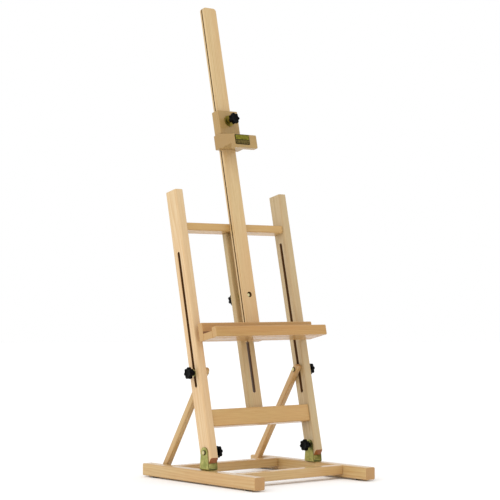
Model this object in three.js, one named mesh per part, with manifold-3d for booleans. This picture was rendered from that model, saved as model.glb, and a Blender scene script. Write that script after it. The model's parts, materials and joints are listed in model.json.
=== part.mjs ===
// A table-top H-frame artist's easel in wood, with zinc brackets and black star knobs.
// Millimetres, +Z up, -Y is the front, and the origin is under the middle of the base.
import * as THREE from "three";
import { mergeVertices } from "three/addons/utils/BufferGeometryUtils.js";
import Module from "manifold-3d";

const wasm = await Module();
wasm.setup();

// Fits
const GAP = 0.3; // between pieces that touch
const SHANK = 6; // diameter of every bolt's shank
const BORE = SHANK + 2 * GAP; // hole that a shank passes through
const CUT = 1; // how far a cutting tool runs past a face
const WELD = 1e-4;
const FINE = 20; // sides of a round piece

// Base: two rails on rubber feet, joined by two crossbars
const BASE_WIDTH = 400;
const RAIL = { length: 470, width: 32, height: 32, edge: 4 };
const FOOT = { height: 3, radius: 11, inset: 40 };
const BASE_BAR = { depth: 30, height: 24, edge: 3, frontInset: 87, rearInset: 120 }; // from rail ends

// Bracket on each rail, whose bolt the post leans on
const PIVOT = { y: -21, height: 45 }; // height is above the rail's top
const BRACKET = { sheet: 2, footWidth: 36, topRadius: 14, post: GAP };
const BRACKET_SCREW = { shank: 3.5, head: 7.5, headHeight: 2, length: 16 };

// Frame that leans back: two slotted posts, two crossbars and a slotted centre post
const LEAN = THREE.MathUtils.degToRad(12.3);
const POST = { width: 25, depth: 44, inset: 11.5, above: 688, below: 29, edge: 4, heel: 12 };
const POST_SLOT = {
  play: 1.6,
  from: { left: 167, right: 141 },
  underBar: { left: 56, right: 25 },
  boltBack: 1.05,
};
const FRAME_BAR = { recess: 5, depth: 39 }; // behind the posts' fronts
const TOP_BAR = { drop: 109, height: 20.5, edge: 3 }; // drop is from the posts' tops to its underside
const LOWER_BAR = { from: 63, height: 44, edge: 3 };
const CENTRE_POST = { width: 45, depth: 18, recess: 17, edge: 3 }; // behind the bars' fronts
const CENTRE_SLOT = { play: 1.6, from: 147, underBar: 34.5 };

// Props that hold the frame at its lean
const PROP = { width: 16, depth: 17, length: 314, beyondBolt: 15, edge: 2.5 };
const PROP_PIVOT = { inset: 38, height: 15, depthInRail: 22 }; // height is above the rail's bottom
const SPACER_RADIUS = 8;

// Mast with the tray at its foot
const MAST = { width: 44, depth: 18, from: 278, to: 1206, edge: 2.5, crown: 9 };
const GROOVE = { width: 4, depth: 4 };
const MAST_BOLT = { at: 403, sinkPlay: 1, sinkDepth: 7 };
const TRAY = { width: 371, depth: 73.4, board: 18, backHeight: 47, lipHeight: 27, edge: 3 };
const TRAY_SCREW = { shank: 4, head: 8, headHeight: 2.5, length: 26, x: 11, above: 26 };

// Clamp that slides on the mast and holds a canvas from above
const CLAMP_BACK = 12.3; // from the mast's front face back to the ends of the clamp's cheeks
const SADDLE = { width: 67, plate: 14.4, from: 840, to: 906 };
// The height is that of its front; its top rises from there to the saddle
const NOSE = { width: 76, reach: 73.4, height: 21, rise: 18.7, lip: 18, lipHeight: 36 };
const CLAMP_BOLT_AT = 877;
const FLANGE = { radius: 15, sheet: 3, neck: 5.5, neckRadius: 6 };
const PLATE = { width: 48, height: 27, sheet: 0.8, x: -12.5, rim: 2 };

// Star knob, washer and domed bolt head, alike wherever they are used
const KNOB = { radius: 15.5, lobes: 7, lobeDepth: 3, disc: 11, hub: 9, hubRadius: 7, bevel: 1.6 };
const KNOB_BORE_DEPTH = 13;
const WASHER = { radius: 9, sheet: 1.5 };
const HEAD = { radius: 6.5, height: 4 };

// Places worked out from the sizes above
const RAIL_BOTTOM = FOOT.height + GAP;
const RAIL_TOP = RAIL_BOTTOM + RAIL.height;
const RAIL_X = (BASE_WIDTH - RAIL.width) / 2;
const RAIL_INNER = RAIL_X - RAIL.width / 2;
const RAIL_END = RAIL.length / 2;
const PIVOT_Z = RAIL_TOP + PIVOT.height;
const POST_OUTER = BASE_WIDTH / 2 - POST.inset;
const POST_X = POST_OUTER - POST.width / 2;
const POST_INNER = POST_OUTER - POST.width;
const POST_FRONT = -POST.depth / 2; // in the frame's own depth, counted from the bracket bolts
const PROP_OUTER = Math.min(POST_INNER, RAIL_INNER) - GAP;
const PROP_X = PROP_OUTER - PROP.width / 2;
const PROP_INNER = PROP_OUTER - PROP.width;
const PROP_PIVOT_Y = RAIL_END - PROP_PIVOT.inset;
const PROP_PIVOT_Z = RAIL_BOTTOM + PROP_PIVOT.height;
const TOP_BAR_FROM = POST.above - TOP_BAR.drop;
const BAR_FRONT = POST_FRONT + FRAME_BAR.recess;
const CENTRE_FRONT = BAR_FRONT + CENTRE_POST.recess;
const CENTRE_BACK = CENTRE_FRONT + CENTRE_POST.depth;
const MAST_BACK = BAR_FRONT - GAP;
const MAST_FRONT = MAST_BACK - MAST.depth;
const TRAY_BACK = MAST_FRONT - GAP;
const SADDLE_FRONT = MAST_FRONT - GAP - SADDLE.plate;
const NOSE_FRONT = MAST_FRONT - GAP - NOSE.reach;
const NOSE_TOP = SADDLE.from - GAP - NOSE.rise; // at its front, from where it slopes up

const wood = (color) => new THREE.MeshStandardMaterial({ color, roughness: 0.5, metalness: 0 });
const BEECH = wood(0xe0c596);
const BEECH_BASE = wood(0xd0a870);
const BEECH_MAST = wood(0xcfa873);
const ZINC = new THREE.MeshStandardMaterial({ color: 0xb5b070, roughness: 0.35, metalness: 0.9 });
const KNOB_PLASTIC = new THREE.MeshStandardMaterial({ color: 0x101010, roughness: 0.4 });
const RUBBER = new THREE.MeshStandardMaterial({ color: 0x241f1b, roughness: 0.85 });
const PLATE_METAL = new THREE.MeshStandardMaterial({ color: 0x8a8a40, roughness: 0.4, metalness: 0.7 });

// A three.js geometry as a solid that can be cut, without its zero-size triangles.
function toSolid(geometry) {
  const bare = new THREE.BufferGeometry();
  bare.setAttribute("position", geometry.getAttribute("position"));
  if (geometry.index) bare.setIndex(geometry.index);
  const welded = mergeVertices(bare, WELD);
  const corners = welded.index.array;
  const kept = [];
  for (let i = 0; i < corners.length; i += 3) {
    const [a, b, c] = [corners[i], corners[i + 1], corners[i + 2]];
    if (a !== b && b !== c && c !== a) kept.push(a, b, c);
  }
  const vertProperties = Float32Array.from(welded.getAttribute("position").array);
  const triVerts = Uint32Array.from(kept);
  return new wasm.Manifold(new wasm.Mesh({ numProp: 3, vertProperties, triVerts }));
}

function toGeometry(solid) {
  const mesh = solid.getMesh();
  const geometry = new THREE.BufferGeometry();
  const positions = new THREE.BufferAttribute(Float32Array.from(mesh.vertProperties), 3);
  geometry.setAttribute("position", positions);
  geometry.setIndex(new THREE.BufferAttribute(Uint32Array.from(mesh.triVerts), 1));
  const flat = geometry.toNonIndexed();
  flat.computeVertexNormals();
  return flat;
}

const cutAway = (geometry, tools) =>
  toGeometry(tools.reduce((solid, tool) => solid.subtract(toSolid(tool)), toSolid(geometry)));

const joined = (geometries) =>
  toGeometry(geometries.map(toSolid).reduce((all, solid) => all.add(solid)));

function roundedRect(width, height, radius) {
  const [w, h] = [width / 2, height / 2];
  const shape = new THREE.Shape();
  shape.moveTo(-w + radius, -h);
  shape.lineTo(w - radius, -h);
  shape.absarc(w - radius, -h + radius, radius, -Math.PI / 2, 0);
  shape.lineTo(w, h - radius);
  shape.absarc(w - radius, h - radius, radius, 0, Math.PI / 2);
  shape.lineTo(-w + radius, h);
  shape.absarc(-w + radius, h - radius, radius, Math.PI / 2, Math.PI);
  shape.lineTo(-w, -h + radius);
  shape.absarc(-w + radius, -h + radius, radius, Math.PI, 1.5 * Math.PI);
  return shape;
}

// A shape in X and Y, pulled up from z = 0, with its end edges bevelled and its outline kept.
function pulled(shape, height, bevel = 0, curveSegments = 3) {
  return new THREE.ExtrudeGeometry(shape, {
    depth: height - 2 * bevel,
    bevelEnabled: bevel > 0,
    bevelThickness: bevel,
    bevelSize: bevel,
    bevelOffset: -bevel,
    bevelSegments: 1,
    curveSegments,
  }).translate(0, 0, bevel);
}

// A board with rounded long edges, centred on its length along the given axis.
function board(axis, length, across, up, edge) {
  const centred = (w, h) => pulled(roundedRect(w, h, edge), length, edge / 2).translate(0, 0, -length / 2);
  if (axis === "x") return centred(up, across).rotateY(Math.PI / 2);
  if (axis === "y") return centred(across, up).rotateX(Math.PI / 2);
  return centred(across, up);
}

const rod = (axis, radius, length, sides = FINE) => {
  const geometry = new THREE.CylinderGeometry(radius, radius, length, sides);
  if (axis === "x") geometry.rotateZ(Math.PI / 2);
  if (axis === "z") geometry.rotateX(Math.PI / 2);
  return geometry;
};

const ringBetween = (inner, outer, thick) => {
  const outline = [
    [inner, 0], [outer, 0], [outer, thick], [inner, thick], [inner, 0],
  ].map(([r, z]) => new THREE.Vector2(r, z));
  return new THREE.LatheGeometry(outline, FINE).rotateX(Math.PI / 2);
};

// A slot with round ends: from and to are its ends along Z, and it is cut along the given axis.
function slotTool(axis, width, from, to, through) {
  const geometry = pulled(roundedRect(width, to - from, width / 2), through, 0, 6);
  geometry.translate(0, 0, -through / 2).rotateX(Math.PI / 2);
  if (axis === "x") geometry.rotateZ(Math.PI / 2);
  return geometry.translate(0, 0, (from + to) / 2);
}

// Turned pieces are drawn along +Z, then turned to face along an axis.
function facing(geometry, direction) {
  const up = new THREE.Vector3(0, 0, 1);
  const turn = new THREE.Quaternion().setFromUnitVectors(up, new THREE.Vector3(...direction));
  return geometry.applyQuaternion(turn);
}

// A domed head below z = 0 with its shank up to z = length.
function boltGeometry(length) {
  const [r, head] = [SHANK / 2, HEAD];
  const profile = new THREE.Path();
  profile.moveTo(0, -head.height);
  profile.quadraticCurveTo(head.radius * 0.9, -head.height * 0.95, head.radius, 0);
  profile.lineTo(r, 0);
  profile.lineTo(r, length - 1);
  profile.lineTo(r - 1, length);
  profile.lineTo(0, length);
  return new THREE.LatheGeometry(profile.getPoints(3), FINE).rotateX(Math.PI / 2);
}

// A countersunk wood screw: flat head at z = 0, point at z = length.
function screwGeometry({ shank, head, headHeight, length }) {
  const outline = [
    [0, 0], [head / 2, 0], [shank / 2, headHeight], [shank / 2, length - shank], [0, length],
  ].map(([r, z]) => new THREE.Vector2(r, z));
  return new THREE.LatheGeometry(outline, FINE / 2).rotateX(Math.PI / 2);
}

// The hole that such a screw sits in, running past the face it is driven from.
function screwHole({ shank, head, headHeight, length }) {
  const outline = [
    [0, -CUT], [head / 2 + GAP, -CUT], [head / 2 + GAP, GAP],
    [shank / 2 + GAP, headHeight + GAP], [shank / 2 + GAP, length + GAP], [0, length + GAP],
  ].map(([r, z]) => new THREE.Vector2(r, z));
  return new THREE.LatheGeometry(outline, FINE / 2).rotateX(Math.PI / 2);
}

function starOutline() {
  const steps = KNOB.lobes * 6;
  const shape = new THREE.Shape();
  for (let i = 0; i < steps; i++) {
    const turn = (2 * Math.PI * i) / steps;
    const radius = KNOB.radius - (KNOB.lobeDepth / 2) * (1 - Math.cos(KNOB.lobes * turn));
    const [x, y] = [radius * Math.cos(turn), radius * Math.sin(turn)];
    if (i) shape.lineTo(x, y);
    else shape.moveTo(x, y);
  }
  return shape;
}

// The hub stands on z = 0, and a blind bore takes the end of a shank from below.
function knobGeometry() {
  const star = pulled(starOutline(), KNOB.disc, KNOB.bevel).translate(0, 0, KNOB.hub);
  const hub = rod("z", KNOB.hubRadius, KNOB.hub + CUT).translate(0, 0, (KNOB.hub + CUT) / 2);
  const bore = rod("z", SHANK / 2 + GAP, KNOB_BORE_DEPTH + CUT, FINE / 2);
  bore.translate(0, 0, (KNOB_BORE_DEPTH - CUT) / 2);
  return cutAway(joined([star, hub]), [bore]);
}

function mesh(name, geometry, material, [x, y, z] = [0, 0, 0]) {
  const made = new THREE.Mesh(geometry, material);
  made.name = name;
  made.position.set(x, y, z);
  return made;
}

const SIDES = [
  { name: "left", sign: -1 },
  { name: "right", sign: 1 },
];

// ---- Base ----

function rail({ name, sign }) {
  const body = board("y", RAIL.length, RAIL.width, RAIL.height, RAIL.edge);
  body.translate(sign * RAIL_X, 0, RAIL_BOTTOM + RAIL.height / 2);
  const reach = PROP_PIVOT.depthInRail + GAP;
  const bore = rod("x", BORE / 2, reach + CUT, FINE / 2);
  bore.translate(sign * (RAIL_INNER + (reach - CUT) / 2), PROP_PIVOT_Y, PROP_PIVOT_Z);
  const screw = facing(screwHole(BRACKET_SCREW), [0, 0, -1]);
  screw.translate(sign * bracketScrewX(), PIVOT.y, RAIL_TOP + GAP + BRACKET.sheet);
  return mesh(`base_rail_${name}`, cutAway(body, [bore, screw]), BEECH_BASE);
}

// The bracket's screw goes into the middle of what the rail and the bracket's foot share.
const bracketScrewX = () =>
  (Math.max(RAIL_INNER, POST_INNER) + Math.min(BASE_WIDTH / 2, POST_OUTER)) / 2;

function baseCrossbar(name, frontFace) {
  const body = board("x", 2 * (RAIL_INNER - GAP), BASE_BAR.depth, BASE_BAR.height, BASE_BAR.edge);
  const place = [0, frontFace + BASE_BAR.depth / 2, RAIL_TOP - BASE_BAR.height / 2];
  return mesh(`base_crossbar_${name}`, body, BEECH_BASE, place);
}

function foot(name, x, y) {
  const { height, radius } = FOOT;
  const profile = new THREE.Path();
  profile.moveTo(0, 0);
  profile.lineTo(radius - height / 2, 0);
  profile.quadraticCurveTo(radius, 0, radius, height);
  profile.lineTo(0, height);
  const body = new THREE.LatheGeometry(profile.getPoints(3), FINE).rotateX(Math.PI / 2);
  return mesh(`foot_${name}`, body, RUBBER, [x, y, 0]);
}

// One ear of the bracket, as a sheet whose sides run in to a round top about the bolt.
function earGeometry() {
  const { footWidth, topRadius, sheet } = BRACKET;
  const rise = PIVOT.height - GAP;
  const flare = Math.atan2(footWidth / 2 - topRadius, rise) * 0.9;
  const shape = new THREE.Shape();
  shape.moveTo(-footWidth / 2, -rise);
  shape.lineTo(footWidth / 2, -rise);
  shape.absarc(0, 0, topRadius, flare, Math.PI - flare);
  shape.closePath();
  const ear = pulled(shape, sheet, 0, 10).translate(0, 0, -sheet / 2);
  return ear.rotateX(Math.PI / 2).rotateZ(Math.PI / 2);
}

function bracket({ name, sign }) {
  const { sheet, footWidth } = BRACKET;
  const earX = POST.width / 2 + BRACKET.post + sheet / 2;
  const floor = new THREE.BoxGeometry(2 * earX + sheet, footWidth, sheet);
  floor.translate(0, 0, -PIVOT.height + GAP + sheet / 2);
  const u = joined([earGeometry().translate(-earX, 0, 0), floor, earGeometry().translate(earX, 0, 0)]);
  const bolt = rod("x", BORE / 2, 2 * earX + 2 * sheet, FINE);
  const screw = facing(screwHole(BRACKET_SCREW), [0, 0, -1]);
  screw.translate(sign * (bracketScrewX() - POST_X), 0, -PIVOT.height + GAP + sheet);
  const place = [sign * POST_X, PIVOT.y, PIVOT_Z];
  return mesh(`bracket_${name}`, cutAway(u, [bolt, screw]), ZINC, place);
}

function bracketScrew({ name, sign }) {
  const body = facing(screwGeometry(BRACKET_SCREW), [0, 0, -1]);
  const place = [sign * bracketScrewX(), PIVOT.y, RAIL_TOP + GAP + BRACKET.sheet];
  return mesh(`bracket_screw_${name}`, body, ZINC, place);
}

// The bolt's head is outside the outer ear, and the knob is inside the inner one.
function bracketBolt({ name, sign }) {
  const outside = POST_OUTER + BRACKET.post + BRACKET.sheet + GAP;
  const knobSeat = bracketKnobSeat();
  const length = outside - knobSeat + KNOB_BORE_DEPTH - GAP;
  const body = facing(boltGeometry(length), [-sign, 0, 0]);
  return mesh(`bracket_bolt_${name}`, body, ZINC, [sign * outside, PIVOT.y, PIVOT_Z]);
}

const bracketKnobSeat = () => POST_INNER - BRACKET.post - BRACKET.sheet - GAP;

function bracketKnob({ name, sign }) {
  const body = facing(knobGeometry(), [-sign, 0, 0]);
  return mesh(`bracket_knob_${name}`, body, KNOB_PLASTIC, [sign * bracketKnobSeat(), PIVOT.y, PIVOT_Z]);
}

// ---- Frame: its group stands on the bracket bolts and leans back ----

// Where the prop's bolt crosses the post's slot, as a height above the bracket bolts.
function boltAlongPost() {
  const back = PROP_PIVOT_Y - PIVOT.y - POST_SLOT.boltBack * Math.cos(LEAN);
  const down = PIVOT_Z - PROP_PIVOT_Z - POST_SLOT.boltBack * Math.sin(LEAN);
  const along = back * Math.sin(LEAN) - down * Math.cos(LEAN);
  return along + Math.sqrt(along ** 2 + PROP.length ** 2 - back ** 2 - down ** 2);
}

function post({ name, sign }) {
  const length = POST.above + POST.below;
  const body = board("z", length, POST.width, POST.depth, POST.edge);
  body.translate(0, 0, (POST.above - POST.below) / 2);
  const bore = rod("x", BORE / 2, POST.width + 2 * CUT);
  const slotWidth = SHANK + 2 * POST_SLOT.play;
  const slotTo = TOP_BAR_FROM - POST_SLOT.underBar[name];
  const slot = slotTool("x", slotWidth, POST_SLOT.from[name], slotTo, POST.width + 2 * CUT);
  const heels = [-1, 1].map((way) => {
    const side = POST.heel * Math.SQRT2;
    const tool = new THREE.BoxGeometry(POST.width + 2 * CUT, side, side).rotateX(Math.PI / 4);
    return tool.translate(0, (way * POST.depth) / 2, -POST.below);
  });
  const place = [sign * POST_X, 0, 0];
  return mesh(`post_${name}`, cutAway(body, [bore, slot, ...heels]), BEECH, place);
}

function frameCrossbar(name, from, { height, edge }) {
  const body = board("x", 2 * (POST_INNER - GAP), FRAME_BAR.depth, height, edge);
  const place = [0, BAR_FRONT + FRAME_BAR.depth / 2, from + height / 2];
  return mesh(`${name}_crossbar`, body, BEECH_BASE, place);
}

function centrePost() {
  const from = LOWER_BAR.from + LOWER_BAR.height + GAP;
  const to = TOP_BAR_FROM - GAP;
  const body = board("z", to - from, CENTRE_POST.width, CENTRE_POST.depth, CENTRE_POST.edge);
  body.translate(0, 0, (from + to) / 2);
  const through = CENTRE_POST.depth + 2 * CUT;
  const slotWidth = SHANK + 2 * CENTRE_SLOT.play;
  const slotTo = TOP_BAR_FROM - CENTRE_SLOT.underBar;
  const slot = slotTool("y", slotWidth, CENTRE_SLOT.from, slotTo, through);
  const place = [0, CENTRE_FRONT + CENTRE_POST.depth / 2, 0];
  return mesh("centre_post", cutAway(body, [slot]), BEECH_BASE, place);
}

// ---- Props: each group stands on its lower pivot and leans forward ----

function prop({ name, sign }) {
  const { width, depth, length, beyondBolt, edge } = PROP;
  const [below, above] = [depth / 2, length + beyondBolt];
  const bar = board("z", above + below + 2 * edge, width, depth, edge);
  bar.translate(0, 0, (above - below) / 2);
  const ends = pulled(roundedRect(depth, above + below, depth / 2 - WELD), width + 2 * CUT, 0, 6);
  ends.translate(0, 0, -width / 2 - CUT).rotateX(Math.PI / 2).rotateZ(Math.PI / 2);
  ends.translate(0, 0, (above - below) / 2);
  const rounded = toGeometry(toSolid(bar).intersect(toSolid(ends)));
  const bores = [0, length].map((z) => rod("x", BORE / 2, width + 2 * CUT).translate(0, 0, z));
  return mesh(`prop_${name}`, cutAway(rounded, bores), BEECH_BASE, [sign * PROP_X, 0, 0]);
}

const propKnobSeat = () => POST_OUTER + GAP + WASHER.sheet + GAP;

function propBolt({ name, sign }) {
  const start = PROP_INNER - GAP;
  const body = facing(boltGeometry(propKnobSeat() - start + KNOB_BORE_DEPTH - GAP), [sign, 0, 0]);
  return mesh(`prop_bolt_${name}`, body, ZINC, [sign * start, 0, PROP.length]);
}

function propWasher({ name, sign }) {
  const body = facing(ringBetween(BORE / 2, WASHER.radius, WASHER.sheet), [sign, 0, 0]);
  return mesh(`prop_washer_${name}`, body, ZINC, [sign * (POST_OUTER + GAP), 0, PROP.length]);
}

function propKnob({ name, sign }) {
  const body = facing(knobGeometry(), [sign, 0, 0]);
  return mesh(`prop_knob_${name}`, body, KNOB_PLASTIC, [sign * propKnobSeat(), 0, PROP.length]);
}

function propPivot({ name, sign }) {
  const start = PROP_INNER - GAP;
  const length = RAIL_INNER + PROP_PIVOT.depthInRail - start;
  const body = facing(boltGeometry(length), [sign, 0, 0]);
  return mesh(`prop_pivot_${name}`, body, ZINC, [sign * start, PROP_PIVOT_Y, PROP_PIVOT_Z]);
}

function propSpacer({ name, sign }) {
  const start = PROP_OUTER + GAP;
  const thick = Math.max(RAIL_INNER - GAP - start, 1);
  const body = facing(ringBetween(BORE / 2, SPACER_RADIUS, thick), [sign, 0, 0]);
  return mesh(`prop_spacer_${name}`, body, ZINC, [sign * start, PROP_PIVOT_Y, PROP_PIVOT_Z]);
}

// ---- Mast and tray ----

function mastOutline() {
  const [w, { from, to, crown }] = [MAST.width / 2, MAST];
  const shape = new THREE.Shape();
  shape.moveTo(-w - CUT, from - CUT);
  shape.lineTo(w + CUT, from - CUT);
  shape.lineTo(w + CUT, to - crown);
  shape.lineTo(w, to - crown);
  shape.absarc(w - crown, to - crown, crown, 0, Math.PI / 2);
  shape.absarc(-w + crown, to - crown, crown, Math.PI / 2, Math.PI);
  shape.lineTo(-w - CUT, to - crown);
  shape.closePath();
  return shape;
}

function mast() {
  const middle = (MAST_FRONT + MAST_BACK) / 2;
  const bar = board("z", MAST.to - MAST.from, MAST.width, MAST.depth, MAST.edge);
  bar.translate(0, middle, (MAST.from + MAST.to) / 2);
  const outline = pulled(mastOutline(), MAST.depth + 2 * CUT).rotateX(Math.PI / 2);
  outline.translate(0, MAST_BACK + CUT, 0);
  const crowned = toGeometry(toSolid(bar).intersect(toSolid(outline)));
  const grooves = [-1, 1].map((way) => {
    const tool = new THREE.BoxGeometry(2 * GROOVE.depth, GROOVE.width, MAST.to - MAST.from + 2 * CUT);
    return tool.translate((way * MAST.width) / 2, middle, (MAST.from + MAST.to) / 2);
  });
  const bore = rod("y", BORE / 2, MAST.depth + 2 * CUT).translate(0, middle, MAST_BOLT.at);
  const sink = rod("y", HEAD.radius + MAST_BOLT.sinkPlay, MAST_BOLT.sinkDepth + CUT);
  sink.translate(0, MAST_FRONT + (MAST_BOLT.sinkDepth - CUT) / 2, MAST_BOLT.at);
  const screws = trayScrewPlaces().map((place) =>
    facing(screwHole(TRAY_SCREW), [0, 1, 0]).translate(...place),
  );
  return mesh("mast", cutAway(crowned, [...grooves, bore, sink, ...screws]), BEECH_MAST);
}

const mastKnobSeat = () => CENTRE_BACK + GAP + WASHER.sheet + GAP;

function mastBolt() {
  const start = MAST_FRONT + MAST_BOLT.sinkDepth - GAP;
  const length = mastKnobSeat() - start + KNOB_BORE_DEPTH - GAP;
  const body = facing(boltGeometry(length), [0, 1, 0]);
  return mesh("mast_bolt", body, ZINC, [0, start, MAST_BOLT.at]);
}

function mastSpacer() {
  const thick = CENTRE_POST.recess - GAP;
  const body = facing(ringBetween(BORE / 2, SPACER_RADIUS + 2, thick), [0, 1, 0]);
  return mesh("mast_spacer", body, ZINC, [0, MAST_BACK + GAP, MAST_BOLT.at]);
}

function mastWasher() {
  const body = facing(ringBetween(BORE / 2, WASHER.radius, WASHER.sheet), [0, 1, 0]);
  return mesh("mast_washer", body, ZINC, [0, CENTRE_BACK + GAP, MAST_BOLT.at]);
}

function mastKnob() {
  const body = facing(knobGeometry(), [0, 1, 0]);
  return mesh("mast_knob", body, KNOB_PLASTIC, [0, mastKnobSeat(), MAST_BOLT.at]);
}

// The tray's screws are driven from the front, through its back board into the mast.
const trayScrewPlaces = () =>
  [-1, 1].map((way) => [way * TRAY_SCREW.x, TRAY_BACK - TRAY.board, MAST.from + TRAY_SCREW.above]);

function trayBackBoard() {
  const body = board("x", TRAY.width, TRAY.board, TRAY.backHeight, TRAY.edge);
  body.translate(0, TRAY_BACK - TRAY.board / 2, MAST.from + TRAY.backHeight / 2);
  const screws = trayScrewPlaces().map((place) =>
    facing(screwHole(TRAY_SCREW), [0, 1, 0]).translate(...place),
  );
  return mesh("tray_back_board", cutAway(body, screws), BEECH_BASE);
}

function trayBottomBoard() {
  const depth = TRAY.depth - 2 * TRAY.board - 2 * GAP;
  const body = board("x", TRAY.width, depth, TRAY.board, TRAY.edge / 2);
  const place = [0, TRAY_BACK - TRAY.depth / 2, MAST.from + TRAY.board / 2];
  return mesh("tray_bottom_board", body, BEECH_BASE, place);
}

function trayFrontLip() {
  const body = board("x", TRAY.width, TRAY.board, TRAY.lipHeight, TRAY.edge);
  const place = [0, TRAY_BACK - TRAY.depth + TRAY.board / 2, MAST.from + TRAY.lipHeight / 2];
  return mesh("tray_front_lip", body, BEECH_BASE, place);
}

const trayScrews = () =>
  trayScrewPlaces().map((place, i) =>
    mesh(`tray_screw_${i + 1}`, facing(screwGeometry(TRAY_SCREW), [0, 1, 0]), ZINC, place),
  );

// ---- Canvas clamp ----

// The clamp's section: a channel round the mast's front, with a tongue in each side groove.
function channelOutline(width, front) {
  const [w, slide] = [width / 2, MAST.width / 2 + GAP];
  const tongue = MAST.width / 2 - GROOVE.depth + GAP;
  const middle = (MAST_FRONT + MAST_BACK) / 2;
  const [low, high] = [middle - GROOVE.width / 2 + GAP, middle + GROOVE.width / 2 - GAP];
  const inside = MAST_FRONT - GAP;
  const back = MAST_FRONT + CLAMP_BACK;
  const half = [
    [slide, inside], [slide, low], [tongue, low], [tongue, high], [slide, high], [slide, back], [w, back],
  ];
  const shape = new THREE.Shape();
  shape.moveTo(w, front);
  for (const [x, y] of half.slice().reverse()) shape.lineTo(x, y);
  for (const [x, y] of half) shape.lineTo(-x, y);
  shape.lineTo(-w, front);
  shape.closePath();
  return shape;
}

function clampSaddle() {
  const body = pulled(channelOutline(SADDLE.width, SADDLE_FRONT), SADDLE.to - SADDLE.from);
  body.translate(0, 0, SADDLE.from);
  const hole = rod("y", BORE / 2, SADDLE.plate + 2 * CUT);
  hole.translate(0, SADDLE_FRONT + SADDLE.plate / 2, CLAMP_BOLT_AT);
  return mesh("clamp_saddle", cutAway(body, [hole]), BEECH_MAST);
}

// What is cut off the nose's top, so that it slopes up from its front to the saddle's front.
function noseSlope() {
  const [start, above] = [NOSE_FRONT - CUT, NOSE_TOP + NOSE.rise + CUT];
  const slope = NOSE.rise / (SADDLE_FRONT - NOSE_FRONT);
  const shape = new THREE.Shape();
  shape.moveTo(start, NOSE_TOP - slope * CUT);
  shape.lineTo(SADDLE_FRONT, NOSE_TOP + NOSE.rise);
  shape.lineTo(SADDLE_FRONT, above);
  shape.lineTo(start, above);
  shape.closePath();
  const wedge = pulled(shape, NOSE.width + 2 * CUT).translate(0, 0, -NOSE.width / 2 - CUT);
  return wedge.rotateX(Math.PI / 2).rotateZ(Math.PI / 2);
}

function clampNose() {
  const block = pulled(channelOutline(NOSE.width, NOSE_FRONT), NOSE.height + NOSE.rise);
  block.translate(0, 0, NOSE_TOP - NOSE.height);
  const lip = new THREE.BoxGeometry(NOSE.width, NOSE.lip, NOSE.lipHeight);
  lip.translate(0, NOSE_FRONT + NOSE.lip / 2, NOSE_TOP - NOSE.lipHeight / 2);
  return mesh("clamp_nose", cutAway(joined([block, lip]), [noseSlope()]), BEECH_MAST);
}

// A plain nameplate with a raised rim.
function clampPlate() {
  const { width, height, sheet, rim } = PLATE;
  const body = pulled(roundedRect(width, height, rim), 2 * sheet);
  const field = pulled(roundedRect(width - 2 * rim, height - 2 * rim, rim / 2), sheet + CUT);
  const plate = cutAway(body, [field.translate(0, 0, sheet)]).rotateX(Math.PI / 2);
  const place = [PLATE.x, NOSE_FRONT - GAP, NOSE_TOP - CUT - height / 2];
  return mesh("clamp_plate", plate, PLATE_METAL, place);
}

const clampKnobSeat = () => SADDLE_FRONT - GAP - FLANGE.sheet - FLANGE.neck - GAP;

function clampFlange() {
  const { radius, sheet, neck, neckRadius } = FLANGE;
  const disc = rod("z", radius, sheet).translate(0, 0, sheet / 2);
  const collar = rod("z", neckRadius, sheet + neck).translate(0, 0, (sheet + neck) / 2);
  const hole = rod("z", BORE / 2, 2 * (sheet + neck) + 2 * CUT);
  const body = facing(cutAway(joined([disc, collar]), [hole]), [0, -1, 0]);
  return mesh("clamp_flange", body, ZINC, [0, SADDLE_FRONT - GAP, CLAMP_BOLT_AT]);
}

function clampStud() {
  const from = clampKnobSeat() - KNOB_BORE_DEPTH + GAP;
  const to = MAST_FRONT - GAP;
  const body = rod("y", SHANK / 2, to - from);
  return mesh("clamp_stud", body, ZINC, [0, (from + to) / 2, CLAMP_BOLT_AT]);
}

function clampKnob() {
  const body = facing(knobGeometry(), [0, -1, 0]);
  return mesh("clamp_knob", body, KNOB_PLASTIC, [0, clampKnobSeat(), CLAMP_BOLT_AT]);
}

// ---- The whole easel ----

function base() {
  const group = new THREE.Group();
  for (const side of SIDES) {
    group.add(rail(side), bracket(side), bracketScrew(side), bracketBolt(side), bracketKnob(side));
    group.add(propPivot(side), propSpacer(side));
    for (const [end, way] of [["front", -1], ["rear", 1]]) {
      const y = way * (RAIL_END - FOOT.inset);
      group.add(foot(`${end}_${side.name}`, side.sign * RAIL_X, y));
    }
  }
  group.add(baseCrossbar("front", BASE_BAR.frontInset - RAIL_END));
  group.add(baseCrossbar("rear", RAIL_END - BASE_BAR.rearInset));
  return group;
}

function leaningFrame() {
  const group = new THREE.Group();
  group.position.set(0, PIVOT.y, PIVOT_Z);
  group.rotation.x = -LEAN;
  group.add(...SIDES.map(post));
  group.add(frameCrossbar("top", TOP_BAR_FROM, TOP_BAR), frameCrossbar("lower", LOWER_BAR.from, LOWER_BAR));
  group.add(centrePost(), mast(), mastBolt(), mastSpacer(), mastWasher(), mastKnob());
  group.add(trayBackBoard(), trayBottomBoard(), trayFrontLip(), ...trayScrews());
  group.add(clampSaddle(), clampNose(), clampPlate(), clampFlange(), clampStud(), clampKnob());
  return group;
}

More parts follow.
